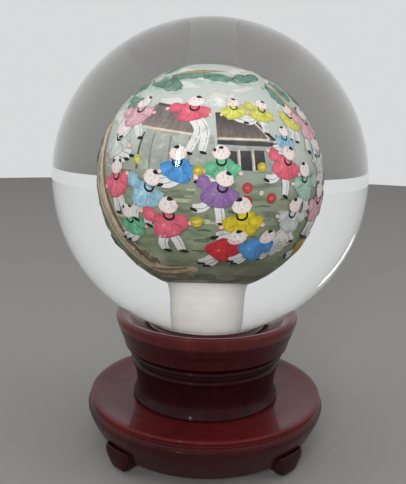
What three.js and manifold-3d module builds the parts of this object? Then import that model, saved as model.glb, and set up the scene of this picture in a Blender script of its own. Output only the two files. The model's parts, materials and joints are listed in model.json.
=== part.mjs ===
// An inside-painted glass ball on a turned wooden stand. Millimetres, +Z up, standing on z = 0.
import * as THREE from "three";
import { mergeVertices } from "three/addons/utils/BufferGeometryUtils.js";
import Module from "manifold-3d";

const wasm = await Module();
wasm.setup();

// Driving dimensions.
const gap = 0.3; // clearance between touching pieces
const turnedSteps = 40; // facets round a turned piece
const smallSteps = 12; // facets round a pin, screw or pad

const ball = { radius: 60, centreZ: 107, hollowRadius: 29.5, boreRadius: 9.6, boreChamfer: 0.8, arcSteps: 10 };
const lining = { thickness: 0.5, arcSteps: 7 };
const seat = { thickness: 2, innerRadius: 14, outerRadius: 24 };
const cup = {
  bottomZ: 40,
  footRadius: 29.2,
  sideBottomRadius: 33.2,
  lipRadius: 36.5,
  lipTopZ: 54.4,
  lipRoll: 1.1,
  mouthRadius: 29.6, // where the bowl meets the sloping inside of the lip
};
const pedestal = {
  bottomZ: 19.5,
  waistRadius: 28.2,
  footRadius: 29.6,
  neckRadius: 29.2,
  bead: { radius: 30.5, height: 15.1, roll: 1 },
  topBead: { radius: 31.2, height: 18.9, roll: 1.1 },
};
const base = {
  radius: 48,
  rimZ: 21.2,
  rimRoll: 0.75,
  groove: { depth: 1.8, bottomZ: 18.9, topZ: 19.5 },
  dishZ: 19.2,
  dishRadius: 30,
  bottomRadius: 42,
  bottomZ: 3.9,
};
const dowel = { radius: 5, bottomZ: 30, topZ: 42.6, chamfer: 0.6 };
const screw = {
  circleRadius: 15,
  headRadius: 4,
  headEdge: 0.4,
  sinkDepth: 0.5, // how far the head lies inside the base
  shankRadius: 1.6,
  threadRadius: 2.1,
  threadTurns: 5,
  plainShank: 8,
  point: 2,
  tipZ: 33,
};
const foot = {
  count: 4,
  bottomZ: 1.1,
  topZ: 9.6,
  innerRadius: 36.5,
  outerRadius: 46.6,
  toeRadius: 45.4,
  halfWidthTop: 6.5,
  halfWidthBottom: 3.2,
};
const pin = { circleRadius: 40.2, headRadius: 1.9, headZ: 1.5, headEdge: 0.4, shankRadius: 0.8, point: 1.2, tipZ: 14 };
const pad = { circleRadius: 41.2, radius: 2.9, thickness: 0.8 };

// Finishes.
const glassColour = 0xf2f5f4;
const paintColour = 0xbfd3c2;
const lacquerColour = 0x3a1214;
const dowelColour = 0xc9a878;
const feltColour = 0x2b2020;
const steelColour = 0xb4b7ba;

const point = (radius, z) => new THREE.Vector2(radius, z);

// Points along a circular arc, from one angle to another, in degrees from +radius towards +z.
function arc(centreRadius, centreZ, radius, from, to, steps) {
  const points = [];
  for (let i = 0; i <= steps; i += 1) {
    const angle = THREE.MathUtils.degToRad(from + ((to - from) * i) / steps);
    points.push(point(centreRadius + radius * Math.cos(angle), centreZ + radius * Math.sin(angle)));
  }
  return points;
}

// Points of a smooth curve through a few places.
function flow(places, steps) {
  return new THREE.SplineCurve(places.map(([radius, z]) => point(radius, z))).getPoints(steps);
}

// The angle below the ball's middle at which a sphere about its centre reaches a radius.
const angleAt = (sphereRadius, radius) => -THREE.MathUtils.radToDeg(Math.acos(radius / sphereRadius));

// A solid of revolution about Z. The profile runs outwards along the bottom and back along the top.
function turned(profile, steps = turnedSteps) {
  return new THREE.LatheGeometry(profile, steps).rotateX(Math.PI / 2);
}

function solidFrom(geometry) {
  const bare = geometry.clone();
  bare.deleteAttribute("normal");
  bare.deleteAttribute("uv");
  const merged = mergeVertices(bare, 1e-4);
  return new wasm.Manifold(
    new wasm.Mesh({
      numProp: 3,
      vertProperties: new Float32Array(merged.attributes.position.array),
      triVerts: new Uint32Array(merged.index.array),
    }),
  );
}

function geometryFrom(solid) {
  const mesh = solid.getMesh();
  const geometry = new THREE.BufferGeometry();
  geometry.setAttribute("position", new THREE.BufferAttribute(new Float32Array(mesh.vertProperties), 3));
  geometry.setIndex(new THREE.BufferAttribute(new Uint32Array(mesh.triVerts), 1));
  geometry.computeVertexNormals();
  return geometry;
}

function cutAway(geometry, tools) {
  return geometryFrom(tools.reduce((solid, tool) => solid.subtract(solidFrom(tool)), solidFrom(geometry)));
}

const root = new THREE.Group();
root.name = "crystal_ball";

function addPiece(name, geometry, colour, roughness, metalness = 0) {
  const material = new THREE.MeshStandardMaterial({ color: colour, roughness, metalness });
  const mesh = new THREE.Mesh(geometry, material);
  mesh.name = name;
  root.add(mesh);
  return mesh;
}

// A point on a circle about Z, for piece number i of a ring of them.
function aroundZ(i, count, startDegrees) {
  return THREE.MathUtils.degToRad(startDegrees + (360 * i) / count);
}

function moved(geometry, circleRadius, angle) {
  return geometry.clone().translate(circleRadius * Math.cos(angle), circleRadius * Math.sin(angle), 0);
}

// ---- Ball ----

// A sphere standing on the flat where its bore comes out, hollowed through that bore.
function hollowSphere(outerRadius, innerRadius, chamfer, steps) {
  const mouthAngle = angleAt(outerRadius, ball.boreRadius + chamfer);
  const mouthZ = ball.centreZ + outerRadius * Math.sin(THREE.MathUtils.degToRad(mouthAngle));
  const outside = [
    point(0, mouthZ),
    ...arc(0, ball.centreZ, outerRadius, mouthAngle, 0, steps),
    ...arc(0, ball.centreZ, outerRadius, 0, 90, steps).slice(1),
  ];
  const overrun = 1;
  const countersink = chamfer > 0 ? [point(ball.boreRadius + chamfer, mouthZ)] : [];
  const inside = [
    point(0, mouthZ - overrun),
    point(ball.boreRadius + chamfer, mouthZ - overrun),
    ...countersink,
    point(ball.boreRadius, mouthZ + chamfer),
    ...arc(0, ball.centreZ, innerRadius, angleAt(innerRadius, ball.boreRadius), 90, steps),
  ];
  outside[outside.length - 1].x = 0;
  inside[inside.length - 1].x = 0;
  return cutAway(turned(outside), [turned(inside)]);
}

function glassBall() {
  return hollowSphere(ball.radius, ball.hollowRadius, ball.boreChamfer, ball.arcSteps);
}

function paintedLining() {
  const outer = ball.hollowRadius - gap;
  return hollowSphere(outer, outer - lining.thickness, 0, lining.arcSteps);
}

addPiece("glass_ball", glassBall(), glassColour, 0.02);
addPiece("painted_lining", paintedLining(), paintColour, 0.45);

// ---- Seat ring and cup ----

function seatRing() {
  const upper = ball.radius + gap;
  const lower = upper + seat.thickness;
  const ring = [
    ...arc(0, ball.centreZ, lower, angleAt(lower, seat.innerRadius), angleAt(lower, seat.outerRadius), 3),
    ...arc(0, ball.centreZ, upper, angleAt(upper, seat.outerRadius), angleAt(upper, seat.innerRadius), 3),
  ];
  return turned([...ring, ring[0].clone()]);
}

function cupBody() {
  const bowl = ball.radius + seat.thickness + 2 * gap;
  const { bottomZ, footRadius, sideBottomRadius, lipRadius, lipTopZ, lipRoll, mouthRadius } = cup;
  const profile = [
    point(0, bottomZ),
    point(footRadius, bottomZ),
    point(footRadius + 0.3, bottomZ + 0.7),
    point(sideBottomRadius - 0.8, bottomZ + 0.9),
    point(sideBottomRadius - 0.1, bottomZ + 1.5),
    ...flow(
      [
        [sideBottomRadius, bottomZ + 2.3],
        [34.1, bottomZ + 5],
        [35.4, bottomZ + 8.4],
        [36.3, bottomZ + 11.2],
        [lipRadius, lipTopZ - lipRoll - 0.6],
      ],
      6,
    ),
    ...arc(lipRadius - lipRoll, lipTopZ - lipRoll, lipRoll, 0, 90, 3),
    ...flow(
      [
        [34.2, lipTopZ - 0.25],
        [31.8, lipTopZ - 1.1],
        [30.4, lipTopZ - 2],
      ],
      3,
    ),
    ...arc(0, ball.centreZ, bowl, angleAt(bowl, mouthRadius), -90, 5),
  ];
  profile[profile.length - 1].x = 0;
  return cutAway(turned(profile), [dowelShape(dowel.radius + gap, dowel.bottomZ - gap, dowel.topZ + gap)]);
}

function dowelShape(radius, bottomZ, topZ) {
  const { chamfer } = dowel;
  const outline = [
    point(0, bottomZ),
    point(radius - chamfer, bottomZ),
    point(radius, bottomZ + chamfer),
    point(radius, topZ - chamfer),
    point(radius - chamfer, topZ),
    point(0, topZ),
  ];
  return turned(outline, 2 * smallSteps);
}

addPiece("seat_ring", seatRing(), feltColour, 0.95);
addPiece("cup", cupBody(), lacquerColour, 0.2);
addPiece("cup_dowel", dowelShape(dowel.radius, dowel.bottomZ, dowel.topZ), dowelColour, 0.7);

// ---- Pedestal ----

// A wood screw standing head down, grown by a clearance where it is used as a cutter.
function screwShape(clearance) {
  const { headRadius, headEdge, shankRadius, threadRadius, threadTurns, plainShank, tipZ } = screw;
  const headZ = base.bottomZ + screw.sinkDepth - 2 * clearance;
  const neckZ = headZ + headRadius - shankRadius;
  const outline = [point(0, headZ), point(headRadius + clearance, headZ)];
  outline.push(point(headRadius + clearance, headZ + headEdge + clearance));
  if (clearance > 0) {
    outline.push(point(threadRadius + clearance, neckZ + 2 * clearance));
    outline.push(point(threadRadius + clearance, tipZ + clearance), point(0, tipZ + clearance));
    return turned(outline, smallSteps);
  }
  outline.push(point(shankRadius, neckZ));
  const threadStart = neckZ + plainShank;
  const pitch = (tipZ - screw.point - threadStart) / threadTurns;
  for (let i = 0; i < threadTurns; i += 1) {
    const z = threadStart + pitch * i;
    outline.push(point(shankRadius, z), point(threadRadius, z + pitch / 2));
  }
  outline.push(point(shankRadius, tipZ - screw.point), point(0, tipZ));
  return turned(outline, smallSteps);
}

const screwAngles = [0, 1, 2].map((i) => aroundZ(i, 3, 90));

function pedestalBody() {
  const { bottomZ, waistRadius, footRadius, neckRadius, bead, topBead } = pedestal;
  const profile = [
    point(0, bottomZ),
    point(footRadius, bottomZ),
    ...flow(
      [
        [footRadius, bottomZ + 0.8],
        [29, bottomZ + 2.1],
        [waistRadius, bottomZ + 5],
        [28.5, bottomZ + 9],
        [29.4, bottomZ + 12.6],
        [29.8, bottomZ + 13.8],
      ],
      8,
    ),
    ...arc(bead.radius - bead.roll, bottomZ + bead.height, bead.roll, -60, 60, 4),
    point(neckRadius, bottomZ + (bead.height + topBead.height) / 2),
    ...arc(topBead.radius - topBead.roll, bottomZ + topBead.height, topBead.roll, -75, 75, 4),
    point(cup.footRadius, cup.bottomZ - gap),
    point(0, cup.bottomZ - gap),
  ];
  const cutters = screwAngles.map((angle) => moved(screwShape(gap), screw.circleRadius, angle));
  cutters.push(dowelShape(dowel.radius + gap, dowel.bottomZ - gap, dowel.topZ + gap));
  return cutAway(turned(profile), cutters);
}

addPiece("pedestal", pedestalBody(), lacquerColour, 0.2);
screwAngles.forEach((angle, i) => {
  addPiece(`pedestal_screw_${i + 1}`, moved(screwShape(0), screw.circleRadius, angle), steelColour, 0.35, 1);
});

// ---- Base and feet ----

// The drum's outline, grown by a clearance where it is used to fit the feet.
function drumProfile(clearance) {
  const { radius, rimZ, rimRoll, groove, dishZ, dishRadius, bottomRadius, bottomZ } = base;
  const grown = radius + clearance;
  return [
    point(0, bottomZ - clearance),
    point(bottomRadius - 0.5 + clearance, bottomZ - clearance),
    ...flow(
      [
        [bottomRadius + clearance, bottomZ + 0.5],
        [44.7 + clearance, 8.7],
        [47.1 + clearance, 13.5],
        [grown, 16.6],
        [grown - 0.3, 17.7],
        [grown - 1, 18.4],
      ],
      9,
    ),
    point(grown - groove.depth, groove.bottomZ),
    point(grown - groove.depth, groove.topZ),
    ...arc(grown - groove.depth, rimZ - rimRoll, rimRoll, -40, 90, 4),
    ...flow(
      [
        [radius - 3.4, rimZ - 0.15],
        [38.5, dishZ + 0.75],
        [dishRadius, dishZ],
      ],
      4,
    ),
    point(0, dishZ),
  ];
}

function pinShape(clearance) {
  const { headRadius, headZ, headEdge, shankRadius, tipZ } = pin;
  const outline = [
    point(0, headZ - 2 * clearance),
    point(headRadius + clearance, headZ - 2 * clearance),
    point(headRadius + clearance, headZ + headEdge),
    point(shankRadius + clearance, headZ + headEdge + 0.5 + clearance),
    point(shankRadius + clearance, tipZ - pin.point),
    point(0, tipZ + clearance),
  ];
  return turned(outline, smallSteps);
}

const footAngles = Array.from({ length: foot.count }, (_, i) => aroundZ(i, foot.count, 45));

function drumBody() {
  const cutters = [
    ...screwAngles.map((angle) => moved(screwShape(gap), screw.circleRadius, angle)),
    ...footAngles.map((angle) => moved(pinShape(gap), pin.circleRadius, angle)),
  ];
  return cutAway(turned(drumProfile(0)), cutters);
}

// A bracket foot: a turned ring section, cut to a shield outline and fitted to the drum.
function footBody(angle) {
  const { bottomZ, topZ, innerRadius, outerRadius, toeRadius, halfWidthTop, halfWidthBottom } = foot;
  const height = topZ - bottomZ;
  const section = [
    point(innerRadius + 0.7, bottomZ),
    ...flow(
      [
        [toeRadius, bottomZ],
        [toeRadius + 0.6, bottomZ + 0.16 * height],
        [outerRadius - 0.1, bottomZ + 0.5 * height],
        [outerRadius, bottomZ + 0.75 * height],
        [outerRadius - 0.3, topZ],
      ],
      8,
    ),
    point(innerRadius, topZ),
    point(innerRadius, bottomZ + 2),
    point(innerRadius + 0.7, bottomZ),
  ];
  // Half of the shield, from the toe to the shoulder, mirrored for the other half.
  const rightSide = new THREE.SplineCurve([
    new THREE.Vector2(halfWidthBottom, bottomZ - 1),
    new THREE.Vector2(halfWidthBottom + 0.1, bottomZ + 0.12 * height),
    new THREE.Vector2((halfWidthBottom + halfWidthTop) / 2, bottomZ + 0.35 * height),
    new THREE.Vector2(halfWidthTop, bottomZ + 0.75 * height),
    new THREE.Vector2(halfWidthTop - 0.4, topZ + 1),
  ]).getPoints(12);
  const leftSide = rightSide.map((p) => new THREE.Vector2(-p.x, p.y)).reverse();
  const outline = new THREE.Shape([...rightSide, ...leftSide]);
  const prism = new THREE.ExtrudeGeometry(outline, { depth: 2 * base.radius, bevelEnabled: false });
  prism.rotateX(Math.PI / 2).rotateZ(Math.PI / 2).rotateZ(angle);
  const bracket = solidFrom(turned(section, 2 * turnedSteps)).intersect(solidFrom(prism));
  const fitted = bracket.subtract(solidFrom(turned(drumProfile(gap))));
  return geometryFrom(fitted.subtract(solidFrom(moved(pinShape(gap), pin.circleRadius, angle))));
}

function padShape() {
  return turned([point(0, 0), point(pad.radius, 0), point(pad.radius, pad.thickness), point(0, pad.thickness)], 16);
}

addPiece("base_drum", drumBody(), lacquerColour, 0.2);
footAngles.forEach((angle, i) => {
  addPiece(`foot_${i + 1}`, footBody(angle), lacquerColour, 0.25);
  addPiece(`foot_pin_${i + 1}`, moved(pinShape(0), pin.circleRadius, angle), steelColour, 0.35, 1);
  addPiece(`foot_pad_${i + 1}`, moved(padShape(), pad.circleRadius, angle), feltColour, 0.95);
});

export default root;
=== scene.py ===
import json
import math
import random

import bmesh
import bpy
from mathutils import Matrix, Vector

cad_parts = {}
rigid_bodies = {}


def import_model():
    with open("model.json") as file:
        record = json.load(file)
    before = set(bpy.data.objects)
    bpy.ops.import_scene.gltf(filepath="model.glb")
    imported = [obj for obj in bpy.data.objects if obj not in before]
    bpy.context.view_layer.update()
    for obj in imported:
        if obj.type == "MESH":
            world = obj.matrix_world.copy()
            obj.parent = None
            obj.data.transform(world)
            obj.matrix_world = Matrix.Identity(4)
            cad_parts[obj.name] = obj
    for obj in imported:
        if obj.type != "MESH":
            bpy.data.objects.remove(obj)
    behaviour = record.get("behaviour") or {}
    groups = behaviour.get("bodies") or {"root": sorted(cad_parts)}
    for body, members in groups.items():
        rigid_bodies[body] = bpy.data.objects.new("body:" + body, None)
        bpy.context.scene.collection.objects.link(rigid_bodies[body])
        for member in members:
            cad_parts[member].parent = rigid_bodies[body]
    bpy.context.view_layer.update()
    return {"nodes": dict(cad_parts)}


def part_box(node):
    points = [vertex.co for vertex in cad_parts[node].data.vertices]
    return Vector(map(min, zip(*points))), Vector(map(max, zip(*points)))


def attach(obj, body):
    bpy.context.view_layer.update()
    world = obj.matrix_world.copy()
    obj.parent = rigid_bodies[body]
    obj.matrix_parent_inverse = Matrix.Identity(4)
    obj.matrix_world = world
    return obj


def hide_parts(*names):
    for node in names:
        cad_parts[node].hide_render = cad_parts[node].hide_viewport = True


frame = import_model()
mm = 0.001

ballLow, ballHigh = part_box("glass_ball")
ballRadius = (ballHigh.x - ballLow.x) / 2
ballCentre = Vector((0, 0, ballHigh.z - ballRadius))
liningLow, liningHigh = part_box("painted_lining")
paintRadius = (liningHigh.x - liningLow.x) / 2
print("frame loaded, ball radius", round(ballRadius / mm, 2), "mm")


def cosSin(degrees):
    return math.cos(math.radians(degrees)), math.sin(math.radians(degrees))


def arcLine(centreR, centreZ, radius, start, end, steps):
    # points on an arc, angles in degrees from outwards towards up
    turns = [cosSin(start + (end - start) * i / steps) for i in range(steps + 1)]
    return [(centreR + radius * c, centreZ + radius * s) for c, s in turns]


def angleAt(reach, radius):
    # the angle below level at which a sphere is this far from its upright axis
    return -math.degrees(math.acos(reach / radius))


def flowLine(places, perSpan):
    # a smooth line through a few places
    ends = [places[0]] + list(places) + [places[-1]]
    line = []
    for i in range(len(places) - 1):
        a, b, c, d = (Vector(p) for p in ends[i:i + 4])
        for k in range(perSpan):
            t = k / perSpan
            line.append(0.5 * (2 * b + (c - a) * t + (2 * a - 5 * b + 4 * c - d) * t ** 2
                               + (3 * b - a - 3 * c + d) * t ** 3))
    return [tuple(p) for p in line] + [tuple(places[-1])]


def outline(places, radius=0, height=0):
    # places in millimetres, as radius and height from the ones given
    return [(radius + r * mm, height + z * mm) for r, z in places]


def turned(line, steps=160, closed=False):
    # spins a line of (radius, height) round the middle
    bm = bmesh.new()
    verts = [bm.verts.new((max(r, 0), 0, z)) for r, z in line]
    edges = [bm.edges.new(pair) for pair in zip(verts, verts[1:])]
    if closed:
        edges.append(bm.edges.new((verts[-1], verts[0])))
    bmesh.ops.spin(bm, geom=verts + edges, cent=(0, 0, 0), axis=(0, 0, 1), angle=2 * math.pi,
                   steps=steps, use_merge=True)
    bmesh.ops.remove_doubles(bm, verts=bm.verts, dist=1e-7)
    bmesh.ops.recalc_face_normals(bm, faces=bm.faces)
    return bm


def stored(bm, name="mark"):
    mesh = bpy.data.meshes.new(name)
    bm.to_mesh(mesh)
    bm.free()
    return mesh


def placed(name, bm, materials, sharp=40):
    # puts a bmesh in the scene, smooth apart from edges past the sharp angle
    for face in bm.faces:
        face.smooth = True
    for edge in bm.edges:
        if len(edge.link_faces) == 2 and edge.calc_face_angle(0) > math.radians(sharp):
            edge.smooth = False
    mesh = stored(bm, name)
    for material in materials:
        mesh.materials.append(material)
    made = bpy.data.objects.new(name, mesh)
    bpy.context.scene.collection.objects.link(made)
    return made


def piece(name, bm, materials, body, stands, sharp=40):
    # a finished piece that rides on a body and stands for CAD nodes
    made = placed(name, bm, materials, sharp)
    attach(made, body)
    if stands:
        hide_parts(*stands)
    return made


class Wire:
    # an output socket that can be used in sums
    def __init__(self, finish, socket):
        self.finish = finish
        self.socket = socket

    def maths(self, operation, *others):
        values = {i: v for i, v in enumerate((self,) + others)}
        return self.finish.add("ShaderNodeMath", {"operation": operation}, values)

    def __add__(self, other):
        return self.maths("ADD", other)

    def __mul__(self, other):
        return self.maths("MULTIPLY", other)

    def __sub__(self, other):
        return self.maths("SUBTRACT", other)

    def __rsub__(self, other):
        return self.finish.add("ShaderNodeMath", {"operation": "SUBTRACT"}, {0: other, 1: self})

    __radd__ = __add__
    __rmul__ = __mul__

    def clipped(self):
        return self.maths("MAXIMUM", 0).maths("MINIMUM", 1)

    def above(self, low, high):
        # 0 below low, 1 above high, smooth between
        return self.finish.add("ShaderNodeMapRange", {"interpolation_type": "SMOOTHSTEP"},
                               {"Value": self, "From Min": low, "From Max": high})

    def part(self, name):
        return Wire(self.finish, self.socket.node.outputs[name])


class Finish:
    # a material built a node at a time
    def __init__(self, name):
        self.material = bpy.data.materials.new(name)
        self.material.use_nodes = True
        self.tree = self.material.node_tree
        self.tree.nodes.clear()
        self.out = self.tree.nodes.new("ShaderNodeOutputMaterial")

    def add(self, kind, settings=None, inputs=None):
        node = self.tree.nodes.new(kind)
        for key, value in (settings or {}).items():
            if key == "stops":
                ramp = node.color_ramp
                while len(ramp.elements) < len(value):
                    ramp.elements.new(0.5)
                for element, (place, colour) in zip(ramp.elements, value):
                    element.position = place
                    element.color = (*colour, 1)
            else:
                setattr(node, key, value)
        for key, value in (inputs or {}).items():
            if isinstance(value, Wire):
                self.tree.links.new(value.socket, node.inputs[key])
            elif node.inputs[key].type == "RGBA":
                node.inputs[key].default_value = (*value, 1)
            else:
                node.inputs[key].default_value = value
        return Wire(self, node.outputs[0])

    def place(self, stretch=(1, 1, 1), shift=(0, 0, 0)):
        coords = self.add("ShaderNodeTexCoord").part("Object")
        return self.add("ShaderNodeMapping", {}, {"Vector": coords, "Location": shift, "Scale": stretch})

    def noise(self, where, scale, detail, rough, distortion=0):
        return self.add("ShaderNodeTexNoise", {}, {"Vector": where, "Scale": scale, "Detail": detail,
                                                   "Roughness": rough, "Distortion": distortion})

    def ramp(self, value, stops):
        return self.add("ShaderNodeValToRGB", {"stops": stops}, {"Fac": value})

    def mix(self, share, a, b, mode="MIX"):
        settings = {"data_type": "RGBA", "blend_type": mode}
        node = self.add("ShaderNodeMix", settings, {0: share, 6: a, 7: b}).socket.node
        return Wire(self, node.outputs[2])

    def bump(self, height, strength, distance):
        return self.add("ShaderNodeBump", {},
                        {"Height": height, "Strength": strength, "Distance": distance})

    def close(self, shader):
        self.tree.links.new(shader.socket, self.out.inputs["Surface"])
        return self.material

    def surface(self, inputs):
        return self.close(self.add("ShaderNodeBsdfPrincipled", {}, inputs))


# every noise below is a scale, a detail, a roughness and, where there is a fourth, a distortion
clearLook = {
    "clean": (0.975, 0.985, 0.98),
    "smudged": (0.96, 0.97, 0.965),
    "smudges": (38, 4, 0.6),
    "smudgeEdge": (0.56, 0.75),
    "smudgeRoughness": 0.03,
    "index": 1.49,
    "shadow": (0.93, 0.94, 0.93),  # the light that gets through to the painting and the stand
}


def clearGlass():
    look = clearLook
    f = Finish("clearGlass")
    smudge = f.noise(f.place(), *look["smudges"]).above(*look["smudgeEdge"])
    tint = f.mix(smudge, look["clean"], look["smudged"])
    glass = f.add("ShaderNodeBsdfPrincipled", {}, {
        "Base Color": tint, "Roughness": smudge * look["smudgeRoughness"], "IOR": look["index"],
        "Transmission Weight": 1})
    shadow = f.add("ShaderNodeBsdfTransparent", {}, {"Color": look["shadow"]})
    shadowRay = f.add("ShaderNodeLightPath").part("Is Shadow Ray")
    return f.close(f.add("ShaderNodeMixShader", {}, {0: shadowRay, 1: glass, 2: shadow}))


groundLook = {
    "dark": (0.74, 0.72, 0.69),
    "light": (0.88, 0.86, 0.83),
    "cloud": (90, 4, 0.55),
    "lapMarks": (160, 2, 0.6),
    "lapStretch": (1, 1, 9),
    "roughness": 0.75,
    "roughnessSpread": 0.2,
    "bump": (0.3, 0.1 * mm),
}


def groundGlass():
    look = groundLook
    f = Finish("groundGlass")
    cloud = f.noise(f.place(), *look["cloud"])
    lapMarks = f.noise(f.place(look["lapStretch"]), *look["lapMarks"])
    colour = f.ramp(cloud * 0.7 + lapMarks * 0.3, [(0.3, look["dark"]), (0.7, look["light"])])
    return f.surface({"Base Color": colour, "Specular IOR Level": 0.1,
                      "Roughness": look["roughness"] - cloud * look["roughnessSpread"],
                      "Normal": f.bump(lapMarks, *look["bump"])})


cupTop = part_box("cup")[1].z
lacquerLook = {
    "stain": [(0.25, (0.030, 0.0026, 0.0032)), (0.5, (0.072, 0.0065, 0.0075)), (0.8, (0.130, 0.012, 0.012))],
    "grain": (9, 5, 0.65, 0.4),
    "grainStretch": (26, 26, 3),
    "pores": (14, 3, 0.7),
    "poreStretch": (90, 90, 9),
    "poreColour": (0.010, 0.002, 0.002),
    "patches": (22, 3, 0.5),
    "skin": (260, 2, 0.5),
    "bump": (0.06, 0.4 * mm),
    "roughness": 0.42,
    "coatRoughness": 0.05,
    "coatIndex": 1.5,
    "coatSpread": 0.16,
    "paintedShadeEdge": 0.7 * mm,
}
# height below which the colour is darkened as painted shade, that painted shade, and the coat below and
# above that height
lacquerShadesAndCoats = {
    # painted shade falls on the drum's lower side, on the whole pedestal and feet, and on the cup below its
    # lip
    "baseLacquer": (18.6 * mm, (0.38, 0.46, 0.46), 0.26, 0.36),
    "neckLacquer": (cupTop, (0.24, 0.5, 0.5), 0.18, 0.18),
    "footLacquer": (cupTop, (0.24, 0.3, 0.3), 0.16, 0.16),
    "cupLacquer": (cupTop - 4.6 * mm, (0.46, 0.42, 0.42), 0.24, 0.62),
}


def lacquer(name):
    look = lacquerLook
    paintedShadeBelow, paintedShade, lowCoat, highCoat = lacquerShadesAndCoats[name]
    f = Finish(name)
    grain = f.noise(f.place(look["grainStretch"]), *look["grain"])
    pores = f.noise(f.place(look["poreStretch"]), *look["pores"])
    patches = f.noise(f.place(), *look["patches"])
    tone = (grain * 0.55 + patches * 0.45).clipped()
    colour = f.ramp(tone, look["stain"])
    colour = f.mix(pores.above(0.62, 0.72) * 0.5, colour, look["poreColour"])
    height = f.add("ShaderNodeSeparateXYZ", {}, {"Vector": f.place()}).part("Z")
    # painted shade: below the height the colour is multiplied darker, where the stand lies in shade
    abovePaintedShade = height.above(paintedShadeBelow - look["paintedShadeEdge"], paintedShadeBelow + look["paintedShadeEdge"])
    colour = f.mix(abovePaintedShade, f.mix(1, colour, paintedShade, "MULTIPLY"), colour)
    skin = f.noise(f.place(), *look["skin"])
    coat = patches * look["coatSpread"] + (lowCoat - look["coatSpread"] / 2) + abovePaintedShade * (highCoat - lowCoat)
    return f.surface({"Base Color": colour, "Roughness": look["roughness"] - tone * 0.1,
                      "Specular IOR Level": 0.12, "Coat Weight": coat,
                      "Coat Roughness": look["coatRoughness"], "Coat IOR": look["coatIndex"],
                      "Normal": f.bump(grain * 0.6 + skin * 0.4, *look["bump"])})


feltLook = {
    "seatFelt": [(0.35, (0.022, 0.004, 0.005)), (0.65, (0.060, 0.012, 0.014))],
    "footFelt": [(0.35, (0.01, 0.01, 0.011)), (0.65, (0.05, 0.048, 0.05))],
    "fibres": (1500, 4, 0.7, 0.6),
    "matted": (260, 3, 0.6),
    "bump": (0.6, 0.2 * mm),
    "sheen": 0.5,
}


def felt(name):
    look = feltLook
    f = Finish(name)
    fibres = f.noise(f.place(), *look["fibres"])
    matted = f.noise(f.place(), *look["matted"])
    colour = f.ramp(fibres * 0.6 + matted * 0.4, look[name])
    return f.surface({"Base Color": colour, "Roughness": 0.95, "Sheen Weight": look["sheen"],
                      "Normal": f.bump(fibres, *look["bump"])})


beechLook = {
    "wood": [(0.3, (0.42, 0.27, 0.14)), (0.7, (0.63, 0.45, 0.27))],
    "grain": (60, 5, 0.6, 0.5),
    "flecks": (80, 2, 0.5),
    "fleckColour": (0.3, 0.17, 0.08),
    "roughness": 0.7,
    "bump": (0.3, 0.2 * mm),
}


def beech():
    look = beechLook
    f = Finish("bareBeech")
    grain = f.noise(f.place((12, 12, 1)), *look["grain"])
    flecks = f.noise(f.place((40, 40, 8)), *look["flecks"]).above(0.62, 0.7)
    colour = f.mix(flecks * 0.5, f.ramp(grain, look["wood"]), look["fleckColour"])
    return f.surface({"Base Color": colour, "Roughness": look["roughness"],
                      "Normal": f.bump(grain, *look["bump"])})


zincLook = {
    "metal": [(0.3, (0.42, 0.43, 0.44)), (0.7, (0.62, 0.63, 0.63))],
    "spangle": (500, 3, 0.6),
    "drawn": (60, 2, 0.5),
    "roughness": 0.28,
    "bump": (0.15, 0.1 * mm),
}


def zincSteel():
    look = zincLook
    f = Finish("zincSteel")
    spangle = f.noise(f.place(), *look["spangle"])
    drawn = f.noise(f.place((60, 60, 4)), *look["drawn"])
    return f.surface({"Base Color": f.ramp(spangle, look["metal"]), "Metallic": 1,
                      "Roughness": look["roughness"] + drawn * 0.25,
                      "Normal": f.bump(drawn, *look["bump"])})


glassFinish = clearGlass()
groundFinish = groundGlass()
lacquers = {name: lacquer(name) for name in lacquerShadesAndCoats}
seatFelt = felt("seatFelt")
footFelt = felt("footFelt")
beechFinish = beech()
steelFinish = zincSteel()
print("finishes made")

ballShape = {
    "innerWall": 28.9 * mm,  # the glass closes on the back of the paint
    "boreMouth": 9.3 * mm,
    "boreTop": 9.7 * mm,
    "boreFlare": 0.9 * mm,
    "mouthChamfer": 0.7 * mm,
    "neckCurve": ((0.25, -2.4), (-0.1, -7)),  # from the bore's top
    "mouthCurve": ((0.1, 8), (0, 0)),  # from the bore's mouth
}


def glassBall():
    s = ballShape
    flare = s["boreTop"] + s["boreFlare"]
    lowest = angleAt(s["boreMouth"] + s["mouthChamfer"], ballRadius)
    outer = arcLine(0, ballCentre.z, ballRadius, lowest, 90, 96)
    inner = arcLine(0, ballCentre.z, s["innerWall"], 90, angleAt(flare, s["innerWall"]), 64)
    topZ = inner[-1][1]
    mouthZ = outer[0][1]
    bore = [(flare, topZ)] + outline(s["neckCurve"], s["boreTop"], topZ)
    bore += outline(s["mouthCurve"], s["boreMouth"], mouthZ + s["mouthChamfer"])
    bm = turned(outer + inner + flowLine(bore, 5)[1:], closed=True)
    for face in bm.faces:
        middle = face.calc_center_median()
        reach = math.hypot(middle.x, middle.y)
        inBore = s["boreMouth"] * 0.9 < reach < flare and mouthZ < middle.z < topZ
        face.material_index = 1 if inBore else 0
    return piece("clear_glass_ball", bm, [glassFinish, groundFinish], "ball", ["glass_ball"])


glassBall()
print("ball made")


def onGlobe(longitude, latitude, lift=0):
    # longitude 0 faces the front, positive to the right; latitude 0 is the ball's middle
    (c, s), (level, up) = cosSin(longitude), cosSin(latitude)
    return ballCentre + Vector((s * level, -c * level, up)) * (paintRadius + lift)


class Spot:
    # a small drawing area on the globe, in millimetres right and up
    def __init__(self, longitude, latitude, size=1.0, tilt=0, flip=1):
        self.out = (onGlobe(longitude, latitude) - ballCentre).normalized()
        east = Vector((*cosSin(longitude), 0))
        north = self.out.cross(east)
        c, s = cosSin(tilt)
        self.right = (east * c + north * s) * size * flip
        self.up = (north * c - east * s) * size

    def __call__(self, x, y, lift):
        along = self.right * x + self.up * y
        turn = along.length * mm / paintRadius
        out = self.out * math.cos(turn) + along.normalized() * math.sin(turn)
        return ballCentre + out * (paintRadius + lift)


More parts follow.
